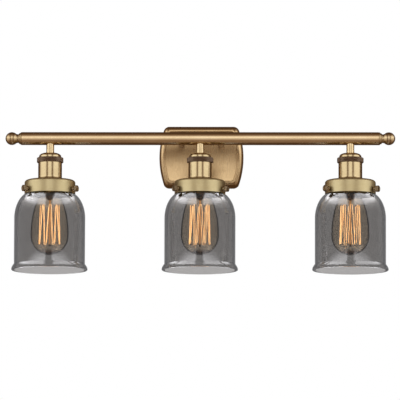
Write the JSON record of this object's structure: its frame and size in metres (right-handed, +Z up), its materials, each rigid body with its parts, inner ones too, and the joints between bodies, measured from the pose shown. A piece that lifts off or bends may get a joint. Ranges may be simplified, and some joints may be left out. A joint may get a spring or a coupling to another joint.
{
  "type": "vanity light bar",
  "caption": "Wall light bar: a brass tube on two posts carries bell shades of smoked glass, each in a thumb-screw holder over a pear-shaped filament bulb.",
  "frame": {"origin": "middle of the backplate on the wall plane", "axes": "+X along the bar to the right of a viewer, +Y into the wall, +Z up"},
  "size_m": [0.66, 0.1684, 0.258],
  "materials": {
    "satin_brass": "brushed, aged, lacquered",
    "dark_brass": "knurled, dark aged",
    "bright_brass": "bright, rolled",
    "zinc_steel": "zinc plated",
    "ground_green": "green dyed",
    "black_insulation": "satin",
    "white_insulation": "satin",
    "orange_plastic": "moulded",
    "black_phenolic": "moulded, satin",
    "solder": "tinned, in black glass",
    "smoked_glass": "plated smoke, polished",
    "clear_glass": "polished",
    "filament": "glass stem with glowing filament"
  },
  "bodies": {
    "fixture": {"crossbar": "zinc_steel", "ground_screw": "ground_green", "mounting_studs": "zinc_steel", "stud_nuts": "zinc_steel", "cap_nuts": "satin_brass", "backplate": "satin_brass", "posts": "satin_brass", "post_washers": "zinc_steel", "post_nuts": "zinc_steel", "bar_tube": "satin_brass", "bar_bushings": "zinc_steel", "finial_left": "satin_brass", "finial_right": "satin_brass", "wires_black": "black_insulation", "wires_white": "white_insulation", "wire_nuts": "orange_plastic", "socket_nuts": "zinc_steel", "insulators": "black_phenolic", "center_contacts": "bright_brass", "screw_shells": "bright_brass", "retaining_rings": "black_phenolic", "stem_left": "satin_brass", "socket_cap_left": "satin_brass", "socket_ring_left": "dark_brass", "socket_shell_left": "satin_brass", "gallery_left": "satin_brass", "shade_left": "smoked_glass", "stem_center": "satin_brass", "socket_cap_center": "satin_brass", "socket_ring_center": "dark_brass", "socket_shell_center": "satin_brass", "gallery_center": "satin_brass", "shade_center": "smoked_glass", "stem_right": "satin_brass", "socket_cap_right": "satin_brass", "socket_ring_right": "dark_brass", "socket_shell_right": "satin_brass", "gallery_right": "satin_brass", "shade_right": "smoked_glass"},
    "bulb_thread_left": {"bulb_contact_left": "solder"},
    "bulb_left": {"bulb_cap_left": "bright_brass", "bulb_glass_left": "clear_glass", "bulb_filament_left": "filament"},
    "thumb_screw_a_left": {"thumb_screw_a_left": "dark_brass"},
    "thumb_screw_b_left": {"thumb_screw_b_left": "dark_brass"},
    "thumb_screw_c_left": {"thumb_screw_c_left": "dark_brass"},
    "bulb_thread_center": {"bulb_contact_center": "solder"},
    "bulb_center": {"bulb_cap_center": "bright_brass", "bulb_glass_center": "clear_glass", "bulb_filament_center": "filament"},
    "thumb_screw_a_center": {"thumb_screw_a_center": "dark_brass"},
    "thumb_screw_b_center": {"thumb_screw_b_center": "dark_brass"},
    "thumb_screw_c_center": {"thumb_screw_c_center": "dark_brass"},
    "bulb_thread_right": {"bulb_contact_right": "solder"},
    "bulb_right": {"bulb_cap_right": "bright_brass", "bulb_glass_right": "clear_glass", "bulb_filament_right": "filament"},
    "thumb_screw_a_right": {"thumb_screw_a_right": "dark_brass"},
    "thumb_screw_b_right": {"thumb_screw_b_right": "dark_brass"},
    "thumb_screw_c_right": {"thumb_screw_c_right": "dark_brass"}
  },
  "joints": [
    {"name": "bulb_travel_left", "type": "slide", "parent": "fixture", "child": "bulb_thread_left", "axis": [0, 0, -1], "range_m": [0, 0.0164]},
    {"name": "bulb_turn_left", "type": "hinge", "parent": "bulb_thread_left", "child": "bulb_left", "pos_m": [-0.254, -0.104, -0.0343], "axis": [0, 0, -1], "range_deg": [0, 1620]},
    {"name": "thumb_screw_a_left_out", "type": "slide", "parent": "fixture", "child": "thumb_screw_a_left", "axis": [-0.829, -0.5592, 0], "range_m": [0, 0.003]},
    {"name": "thumb_screw_b_left_out", "type": "slide", "parent": "fixture", "child": "thumb_screw_b_left", "axis": [0.8988, -0.4384, 0], "range_m": [0, 0.003]},
    {"name": "thumb_screw_c_left_out", "type": "slide", "parent": "fixture", "child": "thumb_screw_c_left", "axis": [-0.0698, 0.9976, 0], "range_m": [0, 0.003]},
    {"name": "bulb_travel_center", "type": "slide", "parent": "fixture", "child": "bulb_thread_center", "axis": [0, 0, -1], "range_m": [0, 0.0164]},
    {"name": "bulb_turn_center", "type": "hinge", "parent": "bulb_thread_center", "child": "bulb_center", "pos_m": [0, -0.104, -0.0343], "axis": [0, 0, -1], "range_deg": [0, 1620]},
    {"name": "thumb_screw_a_center_out", "type": "slide", "parent": "fixture", "child": "thumb_screw_a_center", "axis": [-0.829, -0.5592, 0], "range_m": [0, 0.003]},
    {"name": "thumb_screw_b_center_out", "type": "slide", "parent": "fixture", "child": "thumb_screw_b_center", "axis": [0.8988, -0.4384, 0], "range_m": [0, 0.003]},
    {"name": "thumb_screw_c_center_out", "type": "slide", "parent": "fixture", "child": "thumb_screw_c_center", "axis": [-0.0698, 0.9976, 0], "range_m": [0, 0.003]},
    {"name": "bulb_travel_right", "type": "slide", "parent": "fixture", "child": "bulb_thread_right", "axis": [0, 0, -1], "range_m": [0, 0.0164]},
    {"name": "bulb_turn_right", "type": "hinge", "parent": "bulb_thread_right", "child": "bulb_right", "pos_m": [0.254, -0.104, -0.0343], "axis": [0, 0, -1], "range_deg": [0, 1620]},
    {"name": "thumb_screw_a_right_out", "type": "slide", "parent": "fixture", "child": "thumb_screw_a_right", "axis": [-0.829, -0.5592, 0], "range_m": [0, 0.003]},
    {"name": "thumb_screw_b_right_out", "type": "slide", "parent": "fixture", "child": "thumb_screw_b_right", "axis": [0.8988, -0.4384, 0], "range_m": [0, 0.003]},
    {"name": "thumb_screw_c_right_out", "type": "slide", "parent": "fixture", "child": "thumb_screw_c_right", "axis": [-0.0698, 0.9976, 0], "range_m": [0, 0.003]}
  ],
  "couplings": [
    {"joint": "bulb_travel_left", "follows": "bulb_turn_left", "m_per_rad": 0.00057757},
    {"joint": "bulb_travel_center", "follows": "bulb_turn_center", "m_per_rad": 0.00057757},
    {"joint": "bulb_travel_right", "follows": "bulb_turn_right", "m_per_rad": 0.00057757}
  ]
}
